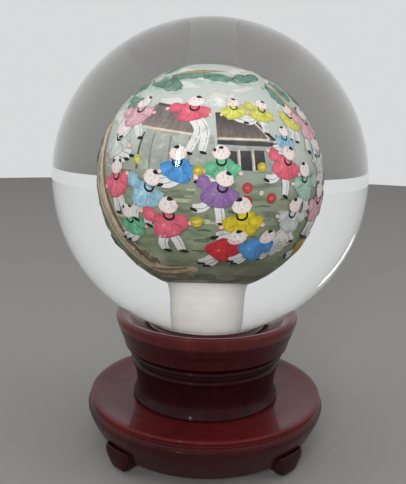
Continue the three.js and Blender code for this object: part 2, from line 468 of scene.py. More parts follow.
def discMesh(segments, rings):
    bm = bmesh.new()
    bmesh.ops.create_circle(bm, cap_ends=True, segments=segments, radius=1)
    face = bm.faces[:][0]
    for i in range(rings):
        bmesh.ops.inset_individual(bm, faces=[face], thickness=1 / (rings + 1), use_even_offset=True)
    bmesh.ops.poke(bm, faces=[face])
    return stored(bm)


def stripMesh(lengthwise, across):
    bm = bmesh.new()
    bmesh.ops.create_grid(bm, x_segments=lengthwise, y_segments=across, size=1)
    return stored(bm)


# bigger marks have more faces, so that they follow the globe
discs = ((4.5, discMesh(32, 6)), (2.2, discMesh(22, 2)), (0.7, discMesh(12, 0)), (0, discMesh(7, 0)))
plainStrip = stripMesh(14, 2)
longStrip = stripMesh(48, 5)
shortStrip = stripMesh(7, 1)
panelGrid = stripMesh(12, 6)

films = {
    "step": 0.006 * mm,  # each layer of paint above the last
    "thickness": 0.0054 * mm,
    "landscape": 0.02 * mm,  # first layers, above the wash
    "halls": 0.11 * mm,
    "children": 0.16 * mm,
    "childLayers": 10,
}


def blend(a, b, t):
    t = min(max(t, 0), 1)
    return tuple(x + (y - x) * t for x, y in zip(a, b))


class Painting:
    # collects brush marks in one mesh, each mark a thin film on its own layer
    def __init__(self, name, lift):
        self.name = name
        self.bm = bmesh.new()
        self.pigment = self.bm.verts.layers.float_color.new("pigment")
        self.where = onGlobe  # what turns a mark's places into points
        self.lift = lift
        self.count = 0

    def stamp(self, mesh):
        start = len(self.bm.verts)
        self.bm.from_mesh(mesh)
        self.bm.verts.ensure_lookup_table()
        self.count += 1
        return self.bm.verts[start:]

    def lifted(self, x, y, layer):
        return self.where(x, y, self.lift + layer * films["step"])

    def dab(self, x, y, wide, high, colour, rim=None, tilt=0, lobes=(), layer=0, soft=0):
        # a filled blob; lobes are (count, depth, turn) waves round its edge
        rim = rim or colour
        c, s = cosSin(tilt)
        mesh = next(disc for least, disc in discs if max(wide, high) > least)
        for vert in self.stamp(mesh):
            u, v = vert.co.x, vert.co.y
            reach, turn = math.hypot(u, v), math.atan2(v, u)
            edge = 1 + sum(d * math.cos(n * turn + math.radians(p)) for n, d, p in lobes)
            px, py = u * wide * edge, v * high * edge
            vert.co = self.lifted(x + px * c - py * s, y + px * s + py * c, layer)
            vert[self.pigment] = (*blend(colour, rim, reach ** 4), 1 - soft * reach ** 3)

    def stroke(self, places, width, colour, end=None, layer=0, soft=0, taper=0.8, mesh=plainStrip):
        # a brush stroke along a smooth line, from one colour to another
        line = flowLine(places, 6)
        end = end or colour
        for vert in self.stamp(mesh):
            t = (vert.co.x + 1) / 2
            k = min(int(t * (len(line) - 1)), len(line) - 2)
            a, b = Vector(line[k]), Vector(line[k + 1])
            ahead = (b - a).normalized()
            side = Vector((-ahead.y, ahead.x))
            press = 1 - taper * abs(2 * t - 1) ** 2.5
            at = a.lerp(b, t * (len(line) - 1) - k) + side * vert.co.y * width * press
            vert.co = self.lifted(at.x, at.y, layer)
            vert[self.pigment] = (*blend(colour, end, t), 1 - soft * abs(2 * t - 1) ** 2)

    def hairline(self, places, width, colour, end=None, layer=0, soft=0):
        self.stroke(places, width, colour, end, layer, soft, mesh=shortStrip)

    def panel(self, corners, low, high, layer=0, bow=0):
        # a four-cornered area: lower left, lower right, upper right, upper left
        a, b, c, d = (Vector(p) for p in corners)
        for vert in self.stamp(panelGrid):
            u, v = (vert.co.x + 1) / 2, (vert.co.y + 1) / 2
            at = a.lerp(b, u).lerp(d.lerp(c, u), v)
            at.y -= bow * math.sin(math.pi * u) * (1 - v * 0.5)
            vert.co = self.lifted(at.x, at.y, layer)
            vert[self.pigment] = (*blend(low, high, v), 1)

    def dry(self, finish):
        # gives every mark its film thickness and makes the piece
        shell = bmesh.ops.extrude_face_region(self.bm, geom=self.bm.faces[:], use_keep_orig=True)
        for vert in (g for g in shell["geom"] if isinstance(g, bmesh.types.BMVert)):
            vert.co += (ballCentre - vert.co).normalized() * films["thickness"]
        bmesh.ops.recalc_face_normals(self.bm, faces=self.bm.faces)
        print(self.name, self.count, "brush marks,", len(self.bm.faces), "faces")
        return piece(self.name, self.bm, [finish], "ball", (), sharp=50)


# pigments, as linear colour
ink = (0.010, 0.010, 0.012)
hairInk = (0.014, 0.013, 0.014)
skin = (0.88, 0.70, 0.64)
blush = (0.88, 0.46, 0.42)
white = (0.84, 0.84, 0.80)
chalk = (0.66, 0.70, 0.68)
rose = (0.82, 0.15, 0.22)
palePink = (0.80, 0.46, 0.52)
red = (0.66, 0.030, 0.045)
sky = (0.085, 0.32, 0.72)
paleBlue = (0.33, 0.58, 0.74)
jade = (0.16, 0.52, 0.30)
paleJade = (0.40, 0.60, 0.50)
violet = (0.30, 0.17, 0.42)
yellow = (0.74, 0.58, 0.025)
ochre = (0.48, 0.30, 0.06)
lemon = (0.72, 0.70, 0.14)
bark = (0.26, 0.17, 0.09)
barkLight = (0.58, 0.46, 0.30)
pine = (0.10, 0.20, 0.15)
pineLight = (0.25, 0.44, 0.35)
meadow = (0.24, 0.29, 0.19)
tile = (0.20, 0.16, 0.145)
tileDark = (0.075, 0.070, 0.070)
cream = (0.72, 0.62, 0.50)
skyTone = (0.56, 0.62, 0.58)

brushLook = {
    "hairs": (900, 3, 0.6),
    "hairShade": (0.05, 0.05, 0.05),
    "pool": (420, 4, 0.6, 0.5),
    "thinPaint": (0.82, 0.81, 0.77),
    "thickPaint": (0.42, 0.40, 0.44),
    "bump": (0.2, 0.05 * mm),
}


def brushPaint():
    look = brushLook
    f = Finish("brushPaint")
    pigment = f.add("ShaderNodeAttribute", {"attribute_name": "pigment"})
    cover = pigment.part("Alpha")
    hairs = f.noise(f.place((1, 1, 2.2)), *look["hairs"])
    pool = f.noise(f.place(), *look["pool"])
    colour = f.mix(pool.above(0.50, 0.72) * 0.75, pigment.part("Color"), look["thinPaint"], "OVERLAY")
    colour = f.mix((1 - pool).above(0.52, 0.74) * 0.45, colour, look["thickPaint"], "MULTIPLY")
    colour = f.mix((hairs - 0.5).clipped() * 0.4, colour, look["hairShade"], "MULTIPLY")
    alpha = (cover + (hairs - 0.5) * 0.9).above(0.18, 0.80)
    return f.surface({"Base Color": colour, "Roughness": 0.5 + pool * 0.2, "Specular IOR Level": 0.1,
                      "Alpha": alpha, "Normal": f.bump(hairs, *look["bump"])})


washLook = {
    # colours from the neck at 0 to the crown at 1
    "bands": [(0.02, (0.34, 0.29, 0.21)), (0.07, (0.26, 0.25, 0.17)), (0.13, (0.22, 0.25, 0.15)),
              (0.24, (0.27, 0.32, 0.21)), (0.44, (0.27, 0.30, 0.22)), (0.60, (0.36, 0.40, 0.34)),
              (0.72, (0.52, 0.57, 0.53)), (0.90, skyTone)],
    "cloud": (60, 4, 0.55),
    "drag": (70, 4, 0.6, 0.3),
    "grass": (0.12, 0.16, 0.10),
    "mist": (0.62, 0.66, 0.60),
    "bump": (0.15, 0.05 * mm),
    "skin": 0.2 * mm,
}


def washPaint():
    look = washLook
    f = Finish("washPaint")
    where = f.place((1, 1, 1), tuple(-ballCentre))
    height = f.add("ShaderNodeSeparateXYZ", {}, {"Vector": where}).part("Z") * (1 / paintRadius)
    cloud = f.noise(where, *look["cloud"])
    drag = f.noise(f.place((1, 1, 5)), *look["drag"])
    band = height * 0.5 + 0.5 + (cloud - 0.5) * 0.14
    grassy = drag.above(0.50, 0.66) * (1 - band).above(0.36, 0.5) * 0.75
    colour = f.mix(grassy, f.ramp(band, look["bands"]), look["grass"])
    colour = f.mix(cloud.above(0.50, 0.72) * 0.45, colour, look["mist"])
    return f.surface({"Base Color": colour, "Roughness": 0.5 + cloud * 0.2, "Specular IOR Level": 0.1,
                      "Normal": f.bump(drag, *look["bump"])})


def paintedWash():
    mouth = ballShape["boreTop"] + ballShape["boreFlare"]
    inside = paintRadius - washLook["skin"]
    line = arcLine(0, ballCentre.z, paintRadius, angleAt(mouth, paintRadius), 90, 64)
    line += arcLine(0, ballCentre.z, inside, 90, angleAt(mouth, inside), 64)
    bm = turned(line, 128, closed=True)
    return piece("painted_wash", bm, [washPaint()], "ball", ["painted_lining"])


paintedWash()
strokeFinish = brushPaint()

childPoses = {
    # head, body lean, sleeves (shoulder to hand), legs (hip, knee, foot)
    "stand": ((0.1, 4.0), 0, ((-1.7, 0.9, -4.0, -0.5), (1.7, 0.9, 4.1, 1.0)),
              ((-1.0, -2.4, -1.2, -4.6, -1.4, -6.3), (1.0, -2.4, 1.2, -4.6, 1.5, -6.2))),
    "run": ((0.9, 3.9), -14, ((-1.5, 1.0, -4.7, 2.0), (1.6, 0.9, 4.8, -0.2)),
            ((-1.0, -2.2, -2.4, -4.0, -4.4, -4.6), (0.9, -2.4, 2.0, -4.4, 2.6, -6.4))),
    "sit": ((0.3, 3.8), 6, ((-1.4, 0.7, -3.7, -1.2), (1.5, 0.7, 3.9, -0.8)),
            ((-0.8, -2.0, 1.6, -3.4, 3.8, -3.6), (0.6, -1.8, 3.0, -2.4, 5.4, -2.9))),
    "crawl": ((3.5, 2.4), -58, ((1.2, 0.2, 2.6, -2.6), (1.9, 0.6, 4.6, -1.6)),
              ((-1.8, -1.6, -3.2, -2.8, -5.0, -3.4), (-1.4, -1.8, -2.4, -3.4, -4.0, -4.2))),
    "reach": ((0.8, 4.2), 4, ((-1.6, 1.2, -5.0, 2.2), (1.6, 1.0, 4.4, 0.0)),
              ((-0.8, -2.4, -1.8, -4.4, -1.6, -6.0), (0.8, -2.4, 1.6, -4.2, 1.9, -6.2))),
    "dangle": ((0.6, 3.2), 0, ((-1.7, 0.9, -5.4, 0.8), (1.7, 0.6, 4.2, -0.8)),
               ((-0.2, -1.6, 2.4, -5.6, 0.4, -11.2), (1.5, -1.6, 4.2, -5.4, 3.9, -10.8))),
}
childColours = {
    "trousers": white,
    "seam": (0.25, 0.25, 0.3),
    "face": (0.93, 0.86, 0.83),
    "faceRim": (0.90, 0.78, 0.75),
    "cheek": (0.90, 0.66, 0.63),
    "eye": (0.05, 0.035, 0.035),
    "brow": (0.12, 0.09, 0.09),
    "mouth": (0.62, 0.10, 0.10),
}
hairKnots = {
    # for each number of tufts: place, width, height and tilt
    1: ((0.5, 1.3, 0.72, 0.42, -12),),
    2: ((-1.25, 1.2, 0.55, 0.4, 40), (1.25, 1.2, 0.55, 0.4, -40)),
    3: ((0, 1.15, 0.6, 0.38, 0), (1.5, 0.6, 0.35, 0.46, 0)),
}


def paintLegs(art, legs):
    trousers, seam = childColours["trousers"], childColours["seam"]
    pale = blend(trousers, (0.45, 0.45, 0.52), 0.25)
    for hipX, hipY, kneeX, kneeY, x, y in legs:
        art.stroke([(hipX, hipY), (kneeX, kneeY), (x, y)], 1.05, trousers, pale, 0, taper=0.15)
        art.hairline([(hipX + 0.5, hipY), (kneeX + 0.45, kneeY), (x + 0.4, y)], 0.09, seam, None, 1)
        art.dab(x + 0.4, y - 0.3, 0.95, 0.4, ink, None, -10, (), 1)


def paintRobe(art, robe, lean, arms):
    # a loose robe with a lit side, two full sleeves, hands and fold lines
    deep = blend(robe, (robe[0] * 0.35, robe[1] * 0.28, robe[2] * 0.35), 0.7)
    edge = blend(robe, deep, 0.35)
    light = blend(robe, (0.92, 0.92, 0.90), 0.2)
    art.dab(0, -0.5, 3.1, 3.1, robe, edge, lean, ((3, 0.13, 40), (2, 0.09, 0), (5, 0.06, 0)), 2, soft=0.45)
    art.dab(-0.8, -0.3, 1.3, 1.9, light, robe, lean - 12, ((3, 0.18, 0), (4, 0.1, 50)), 3, soft=0.9)
    for (x0, y0, x1, y1), wide in zip(arms, (1.7, 1.75)):
        half = math.hypot(x1 - x0, y1 - y0) / 2
        art.dab(x0 * 0.45 + x1 * 0.55, y0 * 0.45 + y1 * 0.55, half * 1.1, wide, robe, edge,
                math.degrees(math.atan2(y1 - y0, x1 - x0)), ((2, 0.10, 30), (3, 0.10, 180), (5, 0.05, 70)),
                4, soft=0.4)
        art.dab(x1 * 1.15, y1 * 1.08, 0.58, 0.5, skin, blush, 0, (), 5)
        art.hairline([(x0 * 0.7, y0 - 1.0), ((x0 + x1) / 2, (y0 + y1) / 2 - 1.0), (x1 * 0.95, y1 - 1.0)],
                     0.12, deep, edge, 5)
    for x0, y0, x1, y1 in ((0.9, 0.4, 0.5, -2.4), (-0.5, -1.2, -1.5, -2.9), (1.5, -0.6, 1.9, -2.4)):
        art.hairline([(x0, y0), ((x0 + x1) / 2 + 0.35, (y0 + y1) / 2), (x1, y1)], 0.11, deep, edge, 5)
    art.hairline([(-2.3, -2.4), (-0.7, -3.2), (0.7, -2.9), (2.3, -2.5)], 0.14, deep, edge, 5)


def paintHead(art, x, y, tufts):
    # a round doll's head with ears, cheeks, dots for eyes, and tufts of hair
    c = childColours
    art.dab(x, y, 1.95, 1.85, c["face"], c["faceRim"], 0, ((2, 0.05, 0), (3, 0.04, 90)), 6, soft=0.3)
    for side in (-1, 1):
        art.dab(x + side * 1.85, y - 0.2, 0.32, 0.44, c["face"], blush, 0, (), 5)
        art.dab(x + side * 0.9, y - 0.5, 0.44, 0.32, c["cheek"], c["face"], 0, (), 7)
        art.dab(x + side * 0.58 + 0.1, y + 0.1, 0.14, 0.08, c["eye"], None, 0, (), 8)
        art.hairline([(x + side * 0.3, y + 0.42), (x + side * 0.55, y + 0.52), (x + side * 0.8, y + 0.44)],
                     0.05, c["brow"], None, 8)
    art.dab(x + 0.05, y - 0.7, 0.18, 0.09, c["mouth"], None, 0, (), 8)
    for knotX, knotY, wide, high, tilt in hairKnots[tufts]:
        art.dab(x + knotX, y + knotY, wide, high, hairInk, None, tilt, ((3, 0.12, 0), (5, 0.06, 40)), 8)


def ball(art, x, y, size, colour, layer):
    dark = blend(colour, ink, 0.45)
    art.dab(x, y, size, size * 0.94, blend(colour, white, 0.15), dark, 0, (), layer)
    for bend in (-0.5, 0.5):
        side, middle = y + bend * 0.3 * size, y + bend * 0.9 * size
        art.hairline([(x - size * 0.8, side), (x, middle), (x + size * 0.8, side)], 0.1, dark,
                     layer=layer + 1)


def child(art, spot, robe, pose, tufts, toy):
    # a small painted child, with a ring round the neck and perhaps a ball in one hand
    head, lean, arms, legs = childPoses[pose]
    art.where = spot
    paintLegs(art, legs)
    paintRobe(art, robe, lean, arms)
    x, y = head[0], head[1] - 0.3
    paintHead(art, x, y, tufts)
    if pose != "crawl":
        ring = [(x - 1.1, y - 1.4), (x - 1.0, y - 2.5), (x - 0.1, y - 3.0), (x + 0.9, y - 2.6),
                (x + 1.1, y - 1.5)]
        art.stroke(ring, 0.25, ink, None, 9, taper=0.5)
    if toy:
        ball(art, arms[1][2] * 1.45, arms[1][3] + 0.2, 1.35, toy, 8)


def pavilion(art, east):
    # a hall with a tiled roof: two roof planes, an eave, pale walls and dark openings
    art.where = lambda x, y, lift: onGlobe(x + east, y, lift)
    art.panel([(-44, 8), (4, 8), (2, 30), (-44, 32)], (0.33, 0.38, 0.32), (0.42, 0.44, 0.41), 0)
    art.panel([(6, 10), (37, 9), (36, 26), (6, 27)], (0.30, 0.34, 0.32), (0.42, 0.43, 0.42), 0)
    for x in (9, 17.5, 26):  # dark openings between posts
        art.panel([(x, 10.5), (x + 6.6, 10.2), (x + 6.4, 21), (x, 21.3)], (0.030, 0.032, 0.034), tileDark, 1)
        art.stroke([(x - 0.8, 10), (x - 0.7, 16), (x - 0.8, 22)], 0.5, cream, None, 2, taper=0)
    for x in (-36, -24, -12):  # wall boards
        art.stroke([(x, 9), (x - 0.5, 18), (x - 1, 29)], 0.45, (0.24, 0.22, 0.2), None, 1, taper=0.1)
        art.stroke([(x + 4, 14), (x + 6, 14.4), (x + 8, 14)], 0.3, (0.30, 0.33, 0.31), None, 1)
    art.panel([(-50, 33), (-2, 29.5), (-12, 46), (-46, 47)], (0.27, 0.22, 0.20), (0.17, 0.15, 0.15), 3, 1.0)
    art.panel([(4, 28.5), (41, 26), (26, 42), (3, 43)], (0.20, 0.165, 0.15), tileDark, 3, 1.0)
    for i in range(9):  # rows of tiles
        x = -46 + i * 4.6
        art.stroke([(x, 33.4 - i * 0.35), (x + 1.5, 39.5), (x + 4.4 - i * 0.25, 46)], 0.16,
                   (0.10, 0.085, 0.08), None, 4)
    for i in range(7):
        x = 7 + i * 4.7
        art.stroke([(x, 28.3 - i * 0.3), (x - 0.7, 34), (x - 1.8 - i * 0.6, 41.5)], 0.16,
                   (0.065, 0.06, 0.065), None, 4)
    # eaves and ridges, then the beam under the eave, the curled corners and the end post
    for places, wide, start, end, layer, taper in (
            ([(-50, 32.4), (-26, 31.4), (-2, 29.3)], 0.75, cream, cream, 5, 0.1),
            ([(5, 28.4), (22, 27.6), (38, 26.6)], 0.6, cream, cream, 5, 0.1),
            ([(26, 42), (33, 34), (38, 27)], 0.6, cream, cream, 5, 0.1),
            ([(24.6, 42.8), (33, 35.6), (41, 27), (44, 26.5)], 0.9, tileDark, ink, 4, 0.2),
            ([(-46, 47.4), (-28, 46.6), (-12, 46.2)], 0.9, tileDark, tile, 5, 0.2),
            ([(3, 43.4), (14, 43.2), (26, 42.4)], 0.9, tileDark, tileDark, 5, 0.2),
            ([(4, 26.2), (22, 25.2), (40, 24)], 1.3, (0.055, 0.055, 0.06), tileDark, 4, 0.1),
            ([(39, 24), (43, 24.4), (45, 27), (43.6, 29)], 0.75, tileDark, ink, 6, 0.5),
            ([(-49, 32.4), (-53, 31), (-55, 33.5), (-53.5, 36)], 0.75, tileDark, ink, 6, 0.5),
            ([(-47, 46.6), (-49.5, 41), (-52, 34)], 0.6, tileDark, ink, 6, 0.5),
            ([(-45, 29.5), (-45.5, 20), (-44.6, 9)], 0.75, (0.10, 0.095, 0.10), None, 2, 0.1)):
        art.stroke(places, wide, start, end, layer, taper=taper)


rng = random.Random(17)
vary = rng.uniform
landscapeMarks = {
    "meadowStrokes": 210,
    "grassTufts": 70,
    "neckStrokes": 70,
    "clouds": 34,
    "flowers": 52,
    "barkStrokes": 34,
    "pineClouds": 15,
    "needlesPerWidth": 3.2,
    # longitude, latitude, width and height in millimetres
    "pines": ((-61, 62, 11, 5.2), (-16, 75, 14, 5.4), (62, 70, 10, 5.0), (80, 55, 10, 6.0),
              (-100, 50, 9, 4.6), (108, 44, 9, 4.6)),
    "copies": (0, 178),  # the front's trunk and pines, and the far side's
}


def pineTree(art, longitude, latitude, wide, high):
    # clouds of needles on a pale halo, each with a dark rim, and fine strokes over them
    art.where = Spot(longitude, latitude)
    art.dab(0, -high * 0.1, wide * 0.66, high * 0.72, (0.42, 0.58, 0.48), skyTone, 0, ((3, 0.1, 0),), 0,
            soft=0.3)
    for i in range(landscapeMarks["pineClouds"]):
        x = vary(-1, 1) * wide * 0.42
        y = vary(-1, 1) * high * 0.26
        tone = blend(pine, pineLight, vary(0.0, 0.8))
        art.dab(x, y, wide * 0.27, high * 0.30, tone, blend(tone, pine, 0.6), vary(-20, 20),
                ((5, 0.08, vary(0, 360)), (3, 0.1, vary(0, 360))), 1 + i % 3, soft=1)
    for i in range(int(landscapeMarks["needlesPerWidth"] * wide)):
        x = vary(-1, 1) * wide * 0.55
        y = vary(-1, 1) * high * 0.42
        reach = vary(0.6, 1.1)
        lean = vary(-0.5, 0.5)
        art.hairline([(x, y), (x + lean * 0.5, y + reach * 0.5), (x + lean, y + reach)], 0.07,
                     blend(pine, ink, 0.5), pine, 5)


def trunkAndRoots(art, east):
    # an old trunk up the side of the scene, its bark and the roots running along the ground
    def shifted(places, right=0, up=0):
        return [(x + east + right, y + up) for x, y in places]

    line = [(-44, -55), (-57, -49), (-66, -38), (-73, -24), (-80, -8), (-87, 10), (-95, 28), (-102, 46),
            (-98, 62)]
    lower = line[:7]
    art.where = onGlobe
    art.stroke(shifted(line), 4.6, (0.66, 0.56, 0.42), (0.54, 0.45, 0.32), 6, taper=0.4, mesh=longStrip)
    art.stroke(shifted(lower, 2.5), 8.5, (0.58, 0.46, 0.32), (0.72, 0.62, 0.48), 7, taper=0.6,
               mesh=longStrip)
    art.stroke(shifted(lower, 9, -0.6), 2.0, (0.10, 0.07, 0.04), bark, 8, taper=0.6, mesh=longStrip)
    art.stroke(shifted(line, -2.2), 0.9, (0.36, 0.27, 0.17), bark, 8, taper=0.6, mesh=longStrip)
    trunk = shifted(line)
    for i in range(landscapeMarks["barkStrokes"]):
        t = vary(0.02, 0.92) * (len(trunk) - 1)
        k = int(t)
        at = Vector(trunk[k]).lerp(Vector(trunk[k + 1]), t - k)
        x, y = at.x + vary(-3, 3), at.y
        art.hairline([(x, y), (x - 0.6, y + 2.2), (x - 1.0, y + 4.4)], 0.34,
                     blend(bark, ink, vary(0.1, 0.8)), None, 9)
    for x, y, wide, high in ((-60, -33, 3.4, 2.4), (-55, -41, 4.0, 2.0), (-50, -47, 4.4, 1.8)):  # moss
        for k in range(5):
            art.where = Spot(x + east + vary(-4, 4), y + vary(-2, 2))
            art.dab(0, 0, wide * 0.5, high * 0.6,
                    blend((0.20, 0.15, 0.07), (0.09, 0.08, 0.04), rng.random()), (0.24, 0.20, 0.11),
                    vary(-30, 30), ((5, 0.12, vary(0, 360)),), 6 + k % 3, soft=0.6)
    # three roots, then two boughs over the crown
    art.where = onGlobe
    for places, wide, start, end, layer, taper, mesh in (
            ([(-66, -47), (-50, -52), (-32, -54), (-9, -52.5)], 3.6, barkLight, (0.50, 0.38, 0.26), 9, 0.5,
             longStrip),
            ([(-58, -52.5), (-40, -54), (-18, -51.6)], 0.9, (0.22, 0.10, 0.04), bark, 10, 0.6, plainStrip),
            ([(-60, -56), (-38, -58), (-16, -55)], 0.6, bark, bark, 10, 0.6, plainStrip),
            ([(-84, 60), (-60, 76), (10, 82)], 1.6, barkLight, ochre, 6, 0.7, plainStrip),
            ([(-70, 75), (-30, 81), (40, 80)], 0.9, ochre, bark, 7, 0.8, plainStrip)):
        art.stroke(shifted(places), wide, start, end, layer, taper=taper, mesh=mesh)


def landscape():
    marks = landscapeMarks
    art = Painting("painted_landscape", films["landscape"])
    for i in range(marks["meadowStrokes"]):
        lon, lat = vary(-180, 180), vary(-60, 16)
        reach = vary(2.5, 7) / max(math.cos(math.radians(lat)), 0.4)
        tone = blend(meadow, (0.07, 0.12, 0.07), vary(0, 1))
        if rng.random() < 0.35:
            tone = blend(meadow, (0.54, 0.58, 0.42), vary(0.3, 1))
        art.hairline([(lon - reach, lat), (lon, lat + vary(-0.8, 0.8)), (lon + reach, lat)], vary(0.35, 1.2),
                     tone, tone, i % 4, soft=0.7)
    for i in range(marks["grassTufts"]):
        lon, lat = vary(-180, 180), vary(-55, 10)
        for k in range(3):
            x = lon + k * 0.9
            art.hairline([(x, lat), (x + 0.2, lat + 0.9), (x + (k - 1) * 0.5, lat + 1.8)], 0.16,
                         (0.05, 0.085, 0.06), None, 5)
    for i in range(marks["neckStrokes"]):
        lon = i * 360 / marks["neckStrokes"] + vary(-2, 2)
        lat = vary(-67, -58)
        tone = blend((0.22, 0.18, 0.12), (0.13, 0.15, 0.10), rng.random())
        art.stroke([(lon - 9, lat), (lon, lat + vary(-1, 1)), (lon + 9, lat)], vary(0.8, 1.8), tone, tone,
                   i % 4, soft=0.5)
    for i in range(marks["clouds"]):
        lon, lat = vary(-180, 180), vary(34, 78)
        tone = blend((0.74, 0.77, 0.73), (0.74, 0.68, 0.64), rng.choice([0, 0, 0.5, 1]))
        art.where = Spot(lon, lat)
        art.dab(0, 0, vary(3.0, 5.6), vary(1.2, 2.4), tone, skyTone, vary(-12, 12),
                ((3, 0.12, vary(0, 360)), (5, 0.08, vary(0, 360))), i % 3, soft=0.3)
    for east in marks["copies"]:
        trunkAndRoots(art, east)
        for lon, lat, wide, high in marks["pines"]:
            pineTree(art, lon + east, lat, wide, high)
    for i in range(marks["flowers"]):
        lon, lat = vary(-180, 180), vary(-34, 34)
        art.where = Spot(lon, lat, 1, vary(0, 90))
        tone = rng.choice([lemon, palePink, white, lemon])
        for k in range(5):
            a = k * 2 * math.pi / 5
            art.dab(0.42 * math.cos(a), 0.42 * math.sin(a), 0.3, 0.3, tone, blend(tone, ochre, 0.4), 0, (),
                    6)
        art.dab(0, 0, 0.2, 0.2, ochre, None, 0, (), 7)
    art.dry(strokeFinish)


def halls():
    art = Painting("painted_pavilions", films["halls"])
    for east in (0, 176):
        pavilion(art, east)
    art.dry(strokeFinish)


frontChildren = [
    # level, longitude, latitude, size, tilt, flip, robe, pose, tufts, toy
    (0, -66, 21, 1.25, 12, 1, chalk, "sit", 1, None), (1, -60, 38, 1.15, 22, 1, palePink, "run", 2, None),
    (0, 17, 45, 0.85, 0, 1, lemon, "sit", 1, None), (1, 37, 43, 0.9, -24, 1, lemon, "run", 1, None),
    (0, 64, 36, 0.95, -22, -1, lemon, "stand", 1, None),
    (1, 79, 30, 1.15, -20, 1, palePink, "reach", 2, None),
    (0, 50, 25, 0.85, -14, -1, paleBlue, "sit", 1, None), (0, 84, 12, 1.15, -10, 1, chalk, "stand", 1, None),
    (1, -15, 45, 1.14, 2, 1, rose, "dangle", 1, None), (2, -60, 0, 1.22, 8, 1, rose, "stand", 2, lemon),
    (2, -18, 11, 1.22, 0, -1, sky, "sit", 1, None), (2, 45, 12, 1.15, -22, 1, rose, "run", 1, None),
    (2, 7, 12, 1.2, 0, -1, jade, "sit", 3, yellow), (3, -38, -4, 1.32, -16, 1, paleBlue, "reach", 1, None),
    (3, 62, 0, 1.15, -10, -1, paleJade, "reach", 1, None), (3, 4, -2, 1.25, -14, 1, violet, "run", 1, red),
    (4, 54, -18, 1.15, -14, -1, chalk, "run", 1, None), (4, 79, -12, 1.3, -8, 1, palePink, "stand", 2, None),
    (5, -25, -20, 1.38, 2, 1, rose, "reach", 1, yellow), (4, 20, -18, 1.38, 6, -1, yellow, "sit", 1, None),
    (5, 9, -35, 1.35, 12, 1, red, "crawl", 1, None), (6, 30, -34, 1.25, 10, 1, sky, "crawl", 1, None),
    (3, 46, -33, 1.0, 14, 1, chalk, "crawl", 1, None), (2, -50, -22, 1.1, 10, -1, jade, "sit", 2, None),
    (2, 80, -34, 1.0, 0, 1, ochre, "crawl", 1, None),
]
frontBalls = ((-45, 14, 1.5, lemon), (21, 1, 1.6, red), (36, -5, 1.6, red), (30, 12, 1.5, yellow))
backChildren = {
    # the far side is a steady loop in the same colours
    "rows": ((42, 4, 0.85), (14, 6, 1.1), (-10, 7, 1.2), (-33, 5, 1.25)),  # latitude, how many, size
    "start": 106,
    "spread": 150,
    "robes": (rose, sky, yellow, jade, violet, palePink, red, paleBlue, chalk, ochre),
    "poses": ("reach", "run", "sit", "stand", "crawl"),
}


def childrenFront():
    art = Painting("painted_children_front", films["children"])
    for level, lon, lat, size, tilt, flip, robe, pose, tufts, toy in frontChildren:
        # each level is one child's layers further out, so nearer children cover those behind
        art.lift = films["children"] + level * films["childLayers"] * films["step"]
        child(art, Spot(lon, lat, size, tilt, flip), robe, pose, tufts, toy)
    art.lift = films["children"]
    for lon, lat, size, colour in frontBalls:
        art.where = Spot(lon, lat)
        ball(art, 0, 0, size, colour, 8)
    return art


def childrenBack():
    b = backChildren
    art = Painting("painted_children_back", films["children"])
    picked = 0
    for row, (lat, count, size) in enumerate(b["rows"]):
        for i in range(count):
            lon = b["start"] + (i + 0.5 * (row % 2) + 0.25) * b["spread"] / count + vary(-3, 3)
            toy = rng.choice([None, None, yellow, red])
            spot = Spot(lon, lat + vary(-4, 4), size * vary(0.88, 1.06), vary(-14, 14),
                        rng.choice([-1, 1]))
            art.lift = films["children"] + (row * 2 + i % 2) * films["childLayers"] * films["step"]
            robe = b["robes"][picked % len(b["robes"])]
            pose = b["poses"][(picked * 2 + row) % len(b["poses"])]
            child(art, spot, robe, pose, 1 + picked % 3, toy)
            picked += 1
    return art


landscape()
halls()
for art in (childrenFront(), childrenBack()):
    art.dry(strokeFinish)
print("painting made")

# the stand's outlines are radius and height in millimetres, from the place that each note names
cupShape = {
    "foot": ((29.2, 0), (29.5, 0.6)),  # from the underside
    "wall": ((32.2, 0.85), (33.0, 1.3), (33.25, 2.3), (34.1, 5), (35.4, 8.4), (36.3, 11.2)),
    "roll": 1.1 * mm,
    "wallEnd": 1.5 * mm,  # below the lip
    "lipSlope": ((34.2, -0.25), (31.8, -1.1), (30.4, -2.0)),  # from the lip
    "bowlGap": 2.6 * mm,  # from the ball
    "bowlReach": 29.6 * mm,
}


def cupPiece():
    s = cupShape
    low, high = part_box("cup")
    line = [(0, low.z)] + outline(s["foot"], 0, low.z)
    line += flowLine(outline(s["wall"], 0, low.z) + [(high.x, high.z - s["wallEnd"])], 6)
    line += arcLine(high.x - s["roll"], high.z - s["roll"], s["roll"], 0, 90, 8)
    line += flowLine(outline(s["lipSlope"], 0, high.z), 5)
    bowl = ballRadius + s["bowlGap"]
    line += arcLine(0, ballCentre.z, bowl, angleAt(s["bowlReach"], bowl), -90, 20)
    return piece("turned_cup", turned(line), [lacquers["cupLacquer"]], "stand", ["cup"])


pedestalShape = {
    # all from the underside
    "foot": ((29.3, 0), (29.6, 0.3)),
    "waist": ((29.6, 0.8), (29.0, 2.1), (28.2, 5), (28.5, 9), (29.4, 12.6), (29.8, 13.8)),
    "lowBead": (29.5, 15.1, 1.0, 60),  # centre, size, and the angle it reaches above and below level
    "groove": ((29.2, 16.6), (29.2, 17.3)),
    "highBead": (30.1, 18.9, 1.1, 75),
    "topRadius": 29.3 * mm,
}


